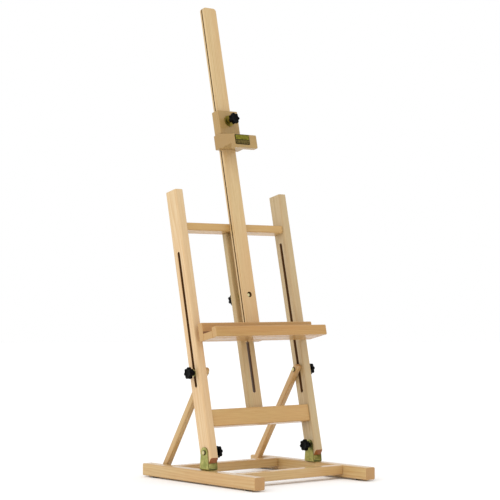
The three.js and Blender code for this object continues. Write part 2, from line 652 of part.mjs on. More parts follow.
function props() {
  const [up, back] = [boltAlongPost(), POST_SLOT.boltBack];
  const boltY = PIVOT.y + up * Math.sin(LEAN) + back * Math.cos(LEAN);
  const boltZ = PIVOT_Z + up * Math.cos(LEAN) - back * Math.sin(LEAN);
  const group = new THREE.Group();
  group.position.set(0, PROP_PIVOT_Y, PROP_PIVOT_Z);
  group.rotation.x = Math.atan2(PROP_PIVOT_Y - boltY, boltZ - PROP_PIVOT_Z);
  for (const side of SIDES) group.add(prop(side), propBolt(side), propWasher(side), propKnob(side));
  return group;
}

const easel = new THREE.Group();
easel.add(base(), leaningFrame(), props());

export default easel;
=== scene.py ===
import json
import math

import bmesh
import bpy
from mathutils import Matrix, Vector


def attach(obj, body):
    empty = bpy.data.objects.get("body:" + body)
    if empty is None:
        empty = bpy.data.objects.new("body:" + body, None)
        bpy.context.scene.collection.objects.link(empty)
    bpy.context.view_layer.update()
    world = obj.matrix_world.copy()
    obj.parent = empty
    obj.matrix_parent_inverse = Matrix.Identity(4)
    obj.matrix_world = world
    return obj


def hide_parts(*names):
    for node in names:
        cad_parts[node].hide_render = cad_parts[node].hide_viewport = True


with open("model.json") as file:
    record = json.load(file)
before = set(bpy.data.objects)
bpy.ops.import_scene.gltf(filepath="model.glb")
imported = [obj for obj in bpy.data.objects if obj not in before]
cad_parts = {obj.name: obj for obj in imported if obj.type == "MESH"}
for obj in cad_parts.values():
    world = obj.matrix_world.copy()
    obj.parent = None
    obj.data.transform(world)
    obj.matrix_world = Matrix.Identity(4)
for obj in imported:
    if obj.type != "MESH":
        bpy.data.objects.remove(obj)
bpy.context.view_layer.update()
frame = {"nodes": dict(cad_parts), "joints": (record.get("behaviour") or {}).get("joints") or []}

MM = 0.001
TURN = 2 * math.pi

# ---- Places, from the frame ----

JOINTS = {joint["name"]: joint for joint in frame["joints"]}
SIDES = {"left": -1, "right": 1}
UPRIGHT = Matrix.Identity(4)
PIVOT = Vector(JOINTS["frame_tilt"]["pos_m"])
MAST_UP = Vector(JOINTS["mast_slide"]["axis"])
LEAN = math.atan2(MAST_UP.y, MAST_UP.z)
LEANING = Matrix.Translation(PIVOT) @ Matrix.Rotation(-LEAN, 4, "X")


def propping():
    """The place of the props: on their lower pivots, with +Z along them."""
    foot = Vector(JOINTS["prop_left_swing"]["pos_m"])
    reach = Vector(JOINTS["prop_left_knob_turn"]["pos_m"]) - foot
    tilt = Matrix.Rotation(math.atan2(-reach.y, reach.z), 4, "X")
    return Matrix.Translation((0, foot.y, foot.z)) @ tilt


PROPPING = propping()


def cad_points(node, place=UPRIGHT):
    """The corners of a CAD node's mesh, measured along the place's own axes."""
    inverse = place.inverted()
    return [inverse @ v.co for v in frame["nodes"][node].data.vertices]


def extent(node, place=UPRIGHT):
    """Lowest and highest corner of a CAD node, measured along the place's own axes."""
    points = cad_points(node, place)
    corners = [[pick(p[i] for p in points) for i in range(3)] for pick in (min, max)]
    return Vector(corners[0]), Vector(corners[1])


def turned_place(node, axis_at, direction):
    """For a round CAD node: the place of its near end with +Z along direction, its length and its radius.
    Its axis goes through axis_at, which is a joint's name or a point."""
    direction = Vector(direction).normalized()
    centre = Vector(JOINTS[axis_at]["pos_m"]) if isinstance(axis_at, str) else axis_at
    points = [p - centre for p in cad_points(node)]
    along = [p.dot(direction) for p in points]
    radius = max((p - a * direction).length for p, a in zip(points, along))
    turn = Vector((0, 0, 1)).rotation_difference(direction).to_matrix().to_4x4()
    start = centre + min(along) * direction
    return Matrix.Translation(start) @ turn, max(along) - min(along), radius


# ---- Sizes that only the looks need ----

ARC_STEPS = 6
ROUND_STEPS = 64
END_EDGE = 1.2 * MM
CUT_EDGE = 0.5 * MM
BREAK_ANGLE = math.radians(40)  # edges sharper than this are broken
SHARP_ANGLE = math.radians(50)  # edges sharper than this are shaded as edges
OVERCUT = 1 * MM  # how far a cutter runs past a face
WELD = 1e-7
AT_FACE = 1 * MM  # points this close to a face count as on it

# A slot's wall is what lies above the frame's pivot bolt and this close to the middle
SLOT_ABOVE = 30 * MM
SLOT_HALF_MOST = 8 * MM

POST_EDGE = 4 * MM
POST_HEEL = 12 * MM
BAR_EDGE = 3 * MM
RAIL_EDGE = 4 * MM
PROP_EDGE = 2.5 * MM
MAST_EDGE = 2.5 * MM
MAST_CROWN = 9 * MM
MAST_GROOVE = 4 * MM
GROOVE_CORNER = 0.4 * MM
MAST_SINK = {"at": 403 * MM, "radius": 7.5 * MM, "depth": 7 * MM}
CHANNEL_SKIM = 0.2 * MM  # depth of the painted shade, a darker wood, in the tray's channel
CHANNEL_SHADE_BELOW = 3 * MM  # how far below the lip's top it ends
CLAMP_CLEARANCE = 0.3 * MM
CLAMP_EDGE = 2 * MM
NOSE_UNDER = 15 * MM
NOSE_LIP = 18 * MM
PLATE = {"rim": 1.6 * MM, "gap": 1.4 * MM, "split": 0.46, "corner": 2 * MM, "panel_corner": 0.8 * MM}
PLATE_LAYERS = {"border_from": 0.6 * MM, "panel_from": 0.05 * MM, "panel_to": 0.9 * MM, "edge": 0.2 * MM}

SHANK = 3 * MM
BORE = SHANK + 0.3 * MM
HEAD_HEIGHT = 4 * MM
RING_EDGE = 0.25 * MM
ROD_EDGE = 0.6 * MM
FLANGE = {"neck": 6 * MM, "disc": 3 * MM, "step": 0.5 * MM}
SCREW_RECESS_EDGE = 0.05 * MM

SHEET = 2 * MM
SHEET_EDGE = 0.35 * MM
BRACKET_BEND = 3.5 * MM
BRACKET_TOP_RADIUS = 14 * MM
BRACKET_TAPER = 3  # how many top radii below the bolt an ear reaches its full width
EAR_HALF_LEAST = 0.4 * MM
EAR_TOP_CLEARANCE = 0.1 * MM
EAR_COLUMNS = 12
EAR_STRAIGHT_STEPS = 8
EAR_ROUND_STEPS = 14

KNOB_LOBES = 7
KNOB_LOBE_DEPTH = 3 * MM
KNOB_LOBE_STEPS = 16
KNOB_VALLEY_POWER = 1.3


# ---- Mesh tools ----

def at(axis, a, b, along):
    """A point with two coordinates across an axis and one along it."""
    return {"X": (along, a, b), "Y": (a, along, b), "Z": (a, b, along)}[axis]


def arc(centre, radius, start, end, steps=ARC_STEPS):
    """Points on a circle, from one angle to another."""
    angles = [start + (end - start) * i / steps for i in range(steps + 1)]
    return [(centre[0] + radius * math.cos(t), centre[1] + radius * math.sin(t)) for t in angles]


def rounded_rect(low, high, radii, steps=ARC_STEPS):
    """An outline from the low corner and counter-clockwise, with one radius or with four."""
    corners = [
        (low[0], low[1], 1, 1), (high[0], low[1], -1, 1),
        (high[0], high[1], -1, -1), (low[0], high[1], 1, -1),
    ]
    points = []
    for i, (x, y, inward_x, inward_y) in enumerate(corners):
        radius = radii[i] if isinstance(radii, (list, tuple)) else radii
        start = math.pi + i * math.pi / 2
        centre = (x + inward_x * radius, y + inward_y * radius)
        points += arc(centre, radius, start, start + math.pi / 2, steps)
    return points


def stadium(middle, half, low, high):
    """A slot's outline: middle is across it, low and high are its ends."""
    steps = 2 * ARC_STEPS
    bottom = arc((middle, low + half), half, math.pi, TURN, steps)
    return bottom + arc((middle, high - half), half, 0, math.pi, steps)


def slot_outline(node, across):
    """The outline of the slot along a CAD node, from the points on its wall. Across is 0 for x or 1 for y."""
    wall = [p for p in cad_points(node, LEANING) if p.z > SLOT_ABOVE and abs(p[across]) < SLOT_HALF_MOST]
    return stadium(0, max(abs(p[across]) for p in wall), min(p.z for p in wall), max(p.z for p in wall))


def prism(outline, axis, low, high, end_edge=0.0, segments=3):
    """A bmesh of an outline pulled along an axis, with the edges of its two ends rounded."""
    bm = bmesh.new()
    rings = [[bm.verts.new(at(axis, a, b, c)) for a, b in outline] for c in (low, high)]
    ends = [bm.faces.new(ring) for ring in rings]
    count = len(outline)
    for i in range(count):
        j = (i + 1) % count
        bm.faces.new((rings[0][i], rings[0][j], rings[1][j], rings[1][i]))
    bmesh.ops.recalc_face_normals(bm, faces=bm.faces)
    if end_edge:
        edges = [edge for end in ends for edge in end.edges]
        bmesh.ops.bevel(
            bm, geom=edges, offset=end_edge, segments=segments, profile=0.5, affect="EDGES",
            clamp_overlap=True,
        )
    return bm


def revolve(profile, steps=ROUND_STEPS, lobes=None):
    """A bmesh of a profile of (radius, height) or (radius, height, lobe share) turned round +Z."""
    bm = bmesh.new()
    rings = []
    for radius, height, *share in profile:
        if radius < WELD:
            rings.append([bm.verts.new((0, 0, height))] * steps)
            continue
        ring = []
        for i in range(steps):
            angle = TURN * i / steps
            r = radius - (lobes(angle) * share[0] if lobes and share else 0)
            ring.append(bm.verts.new((r * math.cos(angle), r * math.sin(angle), height)))
        rings.append(ring)
    for lower, upper in zip(rings, rings[1:]):
        for i in range(steps):
            j = (i + 1) % steps
            corners = [lower[i], lower[j], upper[j], upper[i]]
            face = [v for k, v in enumerate(corners) if v not in corners[:k]]
            bm.faces.new(face)
    bmesh.ops.recalc_face_normals(bm, faces=bm.faces)
    return bm


def new_object(name, bm, place, material):
    """An object with smooth faces and one material."""
    mesh = bpy.data.meshes.new(name)
    bm.to_mesh(mesh)
    bm.free()
    for polygon in mesh.polygons:
        polygon.use_smooth = True
    mesh.materials.append(material)
    made = bpy.data.objects.new(name, mesh)
    bpy.context.scene.collection.objects.link(made)
    made.matrix_world = place
    return made


def settle(piece):
    """Applies a piece's modifiers to its mesh."""
    bpy.context.view_layer.update()
    evaluated = piece.evaluated_get(bpy.context.evaluated_depsgraph_get())
    mesh = bpy.data.meshes.new_from_object(evaluated)
    piece.modifiers.clear()
    piece.data = mesh


def cut(piece, tools, edge=CUT_EDGE):
    """Cuts tools out of a piece, and breaks the new edges. A tool's material shows where it cut."""
    for tool in tools:
        modifier = piece.modifiers.new("cut", "BOOLEAN")
        modifier.operation = "DIFFERENCE"
        modifier.solver = "EXACT"
        modifier.material_mode = "TRANSFER"
        modifier.object = tool
    break_edges(piece, edge)
    settle(piece)
    for tool in tools:
        bpy.data.objects.remove(tool)


def break_edges(piece, width, segments=2):
    """Rounds a piece's sharp edges with a modifier."""
    bevel = piece.modifiers.new("break_edges", "BEVEL")
    bevel.limit_method = "ANGLE"
    bevel.angle_limit = BREAK_ANGLE
    bevel.width = width
    bevel.segments = segments
    bevel.use_clamp_overlap = True


def own(piece, body, slot, *nodes):
    """Puts a finished piece on its body, in place of its CAD nodes."""
    piece.data.set_sharp_from_angle(angle=SHARP_ANGLE)
    shading = piece.modifiers.new("flat_faces", "WEIGHTED_NORMAL")
    shading.keep_sharp = True
    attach(piece, body)
    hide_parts(*nodes)


# ---- Node tools for materials ----

class Nodes:
    """A material's node tree, with short calls for what the materials here need."""

    def __init__(self, name):
        self.material = bpy.data.materials.new(name)
        self.material.use_nodes = True
        self.tree = self.material.node_tree
        self.shader = self.tree.nodes["Principled BSDF"]

    def add(self, kind, settings=None, **inputs):
        """A new node. An input is given by its name, or by its number after an underscore."""
        node = self.tree.nodes.new(kind)
        for key, value in (settings or {}).items():
            setattr(node, key, value)
        for key, value in inputs.items():
            self.join(node, int(key[1:]) if key[1:].isdigit() else key, value)
        return node

    def join(self, node, key, value):
        """Links an output to an input, or sets the input to a plain value."""
        socket = node.inputs[key]
        if isinstance(value, bpy.types.NodeSocket):
            self.tree.links.new(value, socket)
        else:
            socket.default_value = value

    def math(self, operation, a, b=0.0):
        return self.add("ShaderNodeMath", {"operation": operation}, _0=a, _1=b).outputs[0]

    def vector(self, operation, a, b=(0, 0, 0)):
        node = self.add("ShaderNodeVectorMath", {"operation": operation}, _0=a, _1=b)
        return node.outputs["Value" if operation == "LENGTH" else "Vector"]

    def facing(self, coordinates):
        """How far the object's own normal points along x, y and z, without its sign."""
        size = self.vector("ABSOLUTE", coordinates.outputs["Normal"])
        return self.add("ShaderNodeSeparateXYZ", Vector=size).outputs

    def noise(self, coordinates, scale, detail=3.0, roughness=0.5, distortion=0.0):
        node = self.add(
            "ShaderNodeTexNoise", Vector=coordinates, Scale=scale, Detail=detail, Roughness=roughness,
            Distortion=distortion,
        )
        return node.outputs["Fac"]

    def between(self, value, low, high, to_low=0.0, to_high=1.0):
        """The value stretched from one range to another, and kept inside it."""
        node = self.add(
            "ShaderNodeMapRange", {"clamp": True}, _0=value, _1=low, _2=high, _3=to_low, _4=to_high
        )
        return node.outputs[0]

    def mix(self, share, a, b):
        node = self.add("ShaderNodeMix", {"data_type": "RGBA"})
        for key, value in ((0, share), (6, a), (7, b)):
            self.join(node, key, value)
        return node.outputs[2]

    def bump(self, height, strength, distance):
        node = self.add("ShaderNodeBump", Height=height, Strength=strength, Distance=distance)
        self.join(self.shader, "Normal", node.outputs["Normal"])

    def set(self, **inputs):
        """Sets the shader's inputs, and gives the finished material."""
        for key, value in inputs.items():
            self.join(self.shader, key.replace("_", " "), value)
        return self.material


def srgb(red, green, blue):
    """A colour given as it looks, 0 to 255, as the linear colour that nodes take."""
    parts = [c / 255 for c in (red, green, blue)]
    linear = [c / 12.92 if c <= 0.04045 else ((c + 0.055) / 1.055) ** 2.4 for c in parts]
    return (*linear, 1.0)


# ---- Materials ----

# Each wood's early growth, late growth, end grain, and the tone it blushes to
WOODS = {
    "post_left": (srgb(224, 200, 158), srgb(198, 160, 108), srgb(206, 170, 122), srgb(212, 160, 112)),
    # post_right: the same wood as post_left, darker and greyer: painted shade
    "post_right": (srgb(202, 182, 142), srgb(172, 144, 98), srgb(180, 150, 106), srgb(186, 146, 102)),
    "rail": (srgb(204, 176, 124), srgb(180, 140, 84), srgb(172, 124, 70), srgb(196, 140, 84)),
    "bar": (srgb(204, 170, 110), srgb(180, 136, 74), srgb(170, 122, 64), srgb(200, 142, 82)),
    "tray": (srgb(192, 154, 92), srgb(166, 120, 58), srgb(188, 150, 96), srgb(190, 126, 68)),
    "centre": (srgb(196, 178, 132), srgb(170, 142, 92), srgb(172, 134, 86), srgb(194, 148, 104)),
    "mast": (srgb(216, 190, 142), srgb(190, 156, 102), srgb(172, 134, 84), srgb(204, 150, 98)),
    "clamp": (srgb(178, 150, 94), srgb(158, 122, 66), srgb(158, 124, 70), srgb(170, 126, 72)),
    # channel: painted shade, the wood darkened where the tray's channel lies in shade
    "channel": (srgb(140, 90, 42), srgb(108, 62, 22), srgb(112, 64, 24), srgb(128, 74, 32)),
    # heel: the posts' bevelled bottoms in a darker orange, partly their end grain and partly painted shade
    # under the posts
    "heel": (srgb(166, 98, 24), srgb(138, 74, 12), srgb(148, 82, 16), srgb(158, 88, 20)),
    # groove: painted shade in the mast's grooves, its bolt's sink and the clamp's channel
    "groove": (srgb(128, 98, 58), srgb(96, 68, 34), srgb(96, 68, 34), srgb(110, 76, 40)),
    # slot: painted shade on the walls of the slots
    "slot": (srgb(116, 78, 36), srgb(82, 50, 18), srgb(82, 50, 18), srgb(96, 60, 26)),
}
GRAIN_AXES = {"X": Vector((1, 0, 0)), "Y": Vector((0, 1, 0)), "Z": Vector((0, 0, 1))}
RING_SPACING = 3.4 * MM
RING_WANDER = 7.0
HEART_NEAREST = 0.055
HEART_STEP = 0.006
SEED_SHIFT = (0.37, 0.61, 0.23)

# Each pattern in the wood: its scale, how much of it is left along the grain, and its detail
PATTERNS = {
    "wander": (22.0, 0.045, 2.0),
    "streaks": (260.0, 0.045, 4.0, 0.6),
    "fibres": (1500.0, 0.03, 2.0),
    "pores": (900.0, 0.07, 2.0),
    "tone": (14.0, 0.14, 3.0),
    "handling": (45.0, 1.0, 3.0),
    "varnish": (35.0, 1.0, 3.0),
}


def wood(name, kind, axis, seed):
    """Varnished straight-grained wood, its grain along one of the piece's own axes."""
    early, late, end, blush = WOODS[kind]
    n = Nodes(name)
    source = n.add("ShaderNodeTexCoord")
    grain = GRAIN_AXES[axis]
    across = Vector((1, 1, 1)) - grain
    place = n.vector("ADD", source.outputs["Object"], tuple(seed * c for c in SEED_SHIFT))

    def pattern(of):
        scale, along, *detail = PATTERNS[of]
        return n.noise(n.vector("MULTIPLY", place, tuple(across + along * grain)), scale, *detail)

    # Growth rings about a heart that lies well outside the board
    heart_at = across * (HEART_NEAREST + HEART_STEP * (seed % 5))
    heart = n.vector("ADD", source.outputs["Object"], tuple(heart_at))
    ring_radius = n.vector("LENGTH", n.vector("MULTIPLY", heart, tuple(across)))
    wander = n.math("MULTIPLY", pattern("wander"), RING_WANDER)
    ring = n.math("FRACT", n.math("ADD", n.math("DIVIDE", ring_radius, RING_SPACING), wander))
    late_growth = n.math("MULTIPLY", n.between(ring, 0.35, 0.93), n.between(ring, 1.0, 0.94))

    streaks = n.between(pattern("streaks"), 0.3, 0.72)
    fibres = pattern("fibres")
    pores = n.between(pattern("pores"), 0.68, 0.76)
    share = n.math("ADD", n.math("MULTIPLY", late_growth, 0.5), n.math("MULTIPLY", streaks, 0.5))
    colour = n.mix(share, early, late)
    colour = n.mix(n.between(pattern("tone"), 0.42, 0.72, 0.0, 0.42), colour, blush)
    colour = n.mix(n.between(fibres, 0.25, 0.8, 0.0, 0.35), colour, late)
    colour = n.mix(n.math("MULTIPLY", pores, 0.45), colour, end)

    # End grain and rounded edges, which hands have darkened, against the flat faces
    facing = n.facing(source)
    largest = n.math("MAXIMUM", n.math("MAXIMUM", facing[0], facing[1]), facing[2])
    edge = n.between(largest, 0.99, 0.8)
    handled = n.math("MULTIPLY", edge, n.between(pattern("handling"), 0.3, 0.6, 0.35, 1.0))
    colour = n.mix(n.math("MULTIPLY", handled, 0.4), colour, end)
    end_grain = n.between(facing[axis], 0.75, 0.97)
    colour = n.mix(n.math("MULTIPLY", end_grain, 0.7), colour, end)

    relief = n.math("ADD", n.math("MULTIPLY", streaks, 0.5), n.math("MULTIPLY", fibres, 0.5))
    n.bump(n.math("SUBTRACT", relief, n.math("MULTIPLY", pores, 0.8)), 0.3, 0.1 * MM)
    varnish = n.between(pattern("varnish"), 0.3, 0.7, 0.38, 0.55)
    return n.set(
        Base_Color=colour, Roughness=n.math("ADD", varnish, n.math("MULTIPLY", handled, 0.12)),
        Specular_IOR_Level=0.3, Coat_Weight=0.5, Coat_Roughness=0.14,
    )


def zinc(name, bright, dull, sheet_axis=None, ring=None):
    """Zinc plate with its yellow-green passivated film. With a sheet axis it is darker, a painted shade, on
    the faces that don't face along that axis: the sheet's edges, bends and floor. With a ring it is darker
    between the ring's two radii and beyond: a painted shade round a bolt's head."""
    n = Nodes(name)
    source = n.add("ShaderNodeTexCoord")
    place = source.outputs["Object"]
    film = n.noise(place, 70.0, 4.0, 0.6, 0.6)
    colour = n.mix(n.between(film, 0.35, 0.62), bright, dull)
    colour = n.mix(n.between(n.noise(place, 160.0, 2.0), 0.55, 0.75, 0.0, 0.4), colour, srgb(176, 142, 90))
    scuffs = n.noise(n.vector("MULTIPLY", place, (1, 6, 1)), 900.0, 3.0)
    colour = n.mix(n.between(scuffs, 0.6, 0.8, 0.0, 0.4), colour, srgb(92, 84, 36))
    if sheet_axis:
        # Painted shade: dark olive on the sheet's edges, bends and floor
        edge = n.between(n.facing(source)[sheet_axis], 0.95, 0.3, 0.0, 0.75)
        colour = n.mix(edge, colour, srgb(86, 80, 26))
    if ring:
        # Painted shade: a dark ring round a bolt's head, out to its rim
        radius = n.vector("LENGTH", n.vector("MULTIPLY", place, (1, 1, 0)))
        colour = n.mix(n.between(radius, *ring, 0.0, 0.92), colour, srgb(44, 36, 8))
    n.bump(scuffs, 0.2, 0.05 * MM)
    roughness = n.between(scuffs, 0.3, 0.75, 0.28, 0.5)
    return n.set(Base_Color=colour, Roughness=roughness, Metallic=0.9)


def black_plastic():
    """Moulded black plastic with a fine spark-eroded texture."""
    n = Nodes("black_plastic")
    place = n.add("ShaderNodeTexCoord").outputs["Object"]
    texture = n.noise(place, 2600.0, 2.0)
    dust = n.between(n.noise(place, 120.0, 4.0, 0.65), 0.52, 0.78, 0.0, 0.06)
    colour = n.mix(dust, srgb(2, 2, 2), srgb(40, 38, 36))
    n.bump(texture, 0.25, 0.04 * MM)
    roughness = n.between(texture, 0.3, 0.7, 0.34, 0.5)
    return n.set(Base_Color=colour, Roughness=roughness, Specular_IOR_Level=0.07)


def rubber():
    """Dark rubber, dulled where it rests."""
    n = Nodes("rubber")
    place = n.add("ShaderNodeTexCoord").outputs["Object"]
    grain = n.noise(place, 1400.0, 3.0)
    dust = n.between(n.noise(place, 200.0, 3.0), 0.4, 0.7, 0.0, 0.5)
    colour = n.mix(dust, srgb(34, 29, 26), srgb(70, 60, 52))
    n.bump(grain, 0.3, 0.06 * MM)
    return n.set(Base_Color=colour, Roughness=0.82, Specular_IOR_Level=0.3)


def plate_metal(name, bright, dull):
    """Lacquered brushed metal, brushed along the plate."""
    n = Nodes(name)
    place = n.add("ShaderNodeTexCoord").outputs["Object"]
    brushed = n.noise(n.vector("MULTIPLY", place, (0.05, 1, 1)), 3200.0, 3.0)
    patina = n.noise(place, 180.0, 3.0)
    colour = n.mix(n.between(patina, 0.35, 0.65), bright, dull)
    colour = n.mix(n.between(brushed, 0.3, 0.8, 0.0, 0.35), colour, dull)
    n.bump(brushed, 0.2, 0.03 * MM)
    return n.set(Base_Color=colour, Roughness=n.between(brushed, 0.3, 0.7, 0.28, 0.45), Metallic=0.85)


ZINC = zinc("yellow_zinc", srgb(172, 170, 96), srgb(200, 192, 128))
# The brackets' zinc, darker on the sheet's edges, bends and floor between the ears: painted shade
BRACKET_ZINC = zinc("bracket_zinc", srgb(142, 146, 78), srgb(184, 180, 110), sheet_axis="X")
# Bolt heads, with a painted shade as a dark ring round each head
BOLT_ZINC = zinc("bolt_zinc", srgb(222, 212, 168), srgb(200, 190, 132), ring=(3.9 * MM, 5.6 * MM))
# A darker copy of the yellow zinc for the clamp's flange and stud: painted shade of the knob over them
FLANGE_ZINC = zinc("flange_zinc", srgb(112, 98, 30), srgb(136, 120, 44))
BLACK_PLASTIC = black_plastic()
RUBBER = rubber()
# Painted shade for the walls of the slots, which every cutter leaves unless given another material
SLOT_SHADE_WOOD = wood("slot_shade_wood", "slot", "Z", 3)
# Painted shade for recesses: the mast's grooves, its bolt's sink and the clamp's channel
RECESS_SHADE_WOOD = wood("recess_shade_wood", "groove", "Z", 5)
# The posts' heels: partly end grain, partly painted shade
HEEL_WOOD = wood("heel_wood", "heel", "X", 7)
# Painted shade for the inside of the tray's channel
CHANNEL_SHADE_WOOD = wood("channel_shade_wood", "channel", "X", 9)


# ---- Boards ----

def board(name, kind, axis, edge, place=UPRIGHT, end_edge=END_EDGE, *, seed):
    """A board the size of its CAD node, with rounded long edges."""
    low, high = extent(name, place)
    across = [i for i in range(3) if "XYZ"[i] != axis]
    along = "XYZ".index(axis)
    outline = rounded_rect([low[i] for i in across], [high[i] for i in across], edge)
    bm = prism(outline, axis, low[along], high[along], end_edge)
    return new_object(f"{name}_board", bm, place, wood(f"{name}_wood", kind, axis, seed))


def tool(outline, axis, low, high, place, material=SLOT_SHADE_WOOD):
    """A cutter, which leaves its own material on what it cuts."""
    return new_object("tool", prism(outline, axis, low, high), place, material)


def rails():
    for seed, side in enumerate(SIDES, start=1):
        name = f"base_rail_{side}"
        own(board(name, "rail", "Y", RAIL_EDGE, seed=seed), "base", "rail_wood", name)


def base_crossbars():
    for seed, end in enumerate(("front", "rear"), start=4):
        name = f"base_crossbar_{end}"
        own(board(name, "rail", "X", BAR_EDGE, seed=seed), "base", "rail_wood", name)


def posts():
    for seed, side in enumerate(SIDES, start=7):
        name = f"post_{side}"
        piece = board(name, name, "Z", POST_EDGE, LEANING, seed=seed)
        low, high = extent(name, LEANING)
        sideways = (low.x - OVERCUT, high.x + OVERCUT)
        # The slot's walls take the darker slot wood: painted shade
        tools = [tool(slot_outline(name, 1), "X", *sideways, LEANING)]
        # The heels take the darker heel wood: partly end grain, partly painted shade
        diamond = [(POST_HEEL, 0), (0, POST_HEEL), (-POST_HEEL, 0), (0, -POST_HEEL)]
        for face in (low.y, high.y):
            heel = [(face + a, low.z + b) for a, b in diamond]
            tools.append(tool(heel, "X", *sideways, LEANING, HEEL_WOOD))
        cut(piece, tools)
        own(piece, "frame", "post_wood", name)


def frame_crossbars():
    for seed, name in enumerate(("top_crossbar", "lower_crossbar"), start=10):
        own(board(name, "bar", "X", BAR_EDGE, LEANING, seed=seed), "frame", "rail_wood", name)


def centre_post():
    name = "centre_post"
    piece = board(name, "centre", "Z", BAR_EDGE, LEANING, seed=13)
    low, high = extent(name, LEANING)
    # The slot's walls take the darker slot wood: painted shade
    cut(piece, [tool(slot_outline(name, 0), "Y", low.y - OVERCUT, high.y + OVERCUT, LEANING)])
    own(piece, "frame", "rail_wood", name)


def props():
    for seed, side in enumerate(SIDES, start=15):
        name = f"prop_{side}"
        low, high = extent(name, PROPPING)
        half = (high.y - low.y) / 2
        bm = prism(stadium((low.y + high.y) / 2, half, low.z, high.z), "X", low.x, high.x, PROP_EDGE)
        piece = new_object(f"{name}_bar", bm, PROPPING, wood(f"{name}_wood", "rail", "Z", seed))
        own(piece, name, "rail_wood", name)


def mast():
    low, high = extent("mast", LEANING)
    radii = (MAST_EDGE, MAST_EDGE, MAST_CROWN, MAST_CROWN)
    outline = rounded_rect((low.x, low.z), (high.x, high.z), radii)
    bm = prism(outline, "Y", low.y, high.y, MAST_EDGE, segments=4)
    piece = new_object("mast_board", bm, LEANING, wood("mast_wood", "mast", "Z", 19))
    middle, half = (low.y + high.y) / 2, MAST_GROOVE / 2
    # The grooves and the bolt's sink take a darker wood: painted shade in the recesses
    tools = []
    for edge in (low.x, high.x):
        corners = (edge - MAST_GROOVE, middle - half), (edge + MAST_GROOVE, middle + half)
        groove = rounded_rect(*corners, GROOVE_CORNER, 2)
        tools.append(tool(groove, "Z", low.z - OVERCUT, high.z + OVERCUT, LEANING, RECESS_SHADE_WOOD))
    sink = arc((0, MAST_SINK["at"]), MAST_SINK["radius"], 0, TURN, ROUND_STEPS)[:-1]
    tools.append(tool(sink, "Y", low.y - OVERCUT, low.y + MAST_SINK["depth"], LEANING, RECESS_SHADE_WOOD))
    cut(piece, tools)
    own(piece, "mast", "mast_wood", "mast")


def channel_skim():
    """The cutter that leaves painted shade, a darker wood, where the back board faces into the tray's
    channel.
    """
    low, high = extent("tray_back_board", LEANING)
    floor = extent("tray_bottom_board", LEANING)[1].z
    rim = extent("tray_front_lip", LEANING)[1].z - CHANNEL_SHADE_BELOW
    y0, y1 = low.y - OVERCUT, low.y + CHANNEL_SKIM
    outline = [(y0, floor), (y1, floor), (y1, rim), (y0, rim)]
    return tool(outline, "X", low.x - OVERCUT, high.x + OVERCUT, LEANING, CHANNEL_SHADE_WOOD)


def tray():
    edges = {"tray_back_board": BAR_EDGE, "tray_bottom_board": BAR_EDGE / 2, "tray_front_lip": BAR_EDGE}
    for seed, (name, edge) in enumerate(edges.items(), start=21):
        piece = board(name, "tray", "X", edge, LEANING, seed=seed)
        # The back board's face inside the channel takes painted shade
        if name == "tray_back_board":
            cut(piece, [channel_skim()])
        own(piece, "mast", "rail_wood", name)


# ---- Canvas clamp ----

def mast_channel(low_z, high_z, back):
    """The cutter for the channel round the mast, which leaves a tongue for each of its grooves and painted
    shade, a darker wood, on its faces.
    """
    low, high = extent("mast", LEANING)
    slide = high.x + CLAMP_CLEARANCE
    tongue = high.x - MAST_GROOVE + CLAMP_CLEARANCE
    middle, half = (low.y + high.y) / 2, MAST_GROOVE / 2 - CLAMP_CLEARANCE
    front = low.y - CLAMP_CLEARANCE
    side = [(slide, front), (slide, middle - half), (tongue, middle - half), (tongue, middle + half)]
    side += [(slide, middle + half), (slide, back + OVERCUT)]
    outline = side + [(-x, y) for x, y in reversed(side)]
    return tool(outline, "Z", low_z - OVERCUT, high_z + OVERCUT, LEANING, RECESS_SHADE_WOOD)


def clamp_saddle():
    name = "clamp_saddle"
    piece = board(name, "clamp", "Z", CLAMP_EDGE, LEANING, CLAMP_EDGE, seed=31)
    low, high = extent(name, LEANING)
    cut(piece, [mast_channel(low.z, high.z, high.y)])
    own(piece, "clamp", "mast_wood", name)


def nose_slope(node):
    """Where the nose's sloping top starts, at its front, and ends."""
    points = cad_points(node, LEANING)
    low, high = extent(node, LEANING)
    start = max((p for p in points if p.y < low.y + AT_FACE), key=lambda p: p.z)
    end = min((p for p in points if p.z > high.z - AT_FACE), key=lambda p: p.y)
    return start, end


def clamp_nose():
    name = "clamp_nose"
    low, high = extent(name, LEANING)
    slope_start, slope_end = nose_slope(name)
    under = low.z + NOSE_UNDER
    lip = low.y + NOSE_LIP
    outline = [(low.y, slope_start.z), (low.y, low.z), (lip, low.z), (lip, under), (high.y, under)]
    outline += [(high.y, high.z), (slope_end.y, high.z)]
    bm = prism(outline, "X", low.x, high.x)
    piece = new_object("clamp_nose_block", bm, LEANING, wood("clamp_nose_wood", "clamp", "X", 33))
    break_edges(piece, CLAMP_EDGE, segments=4)
    settle(piece)
    cut(piece, [mast_channel(low.z, high.z, high.y)])
    own(piece, "clamp", "mast_wood", name)


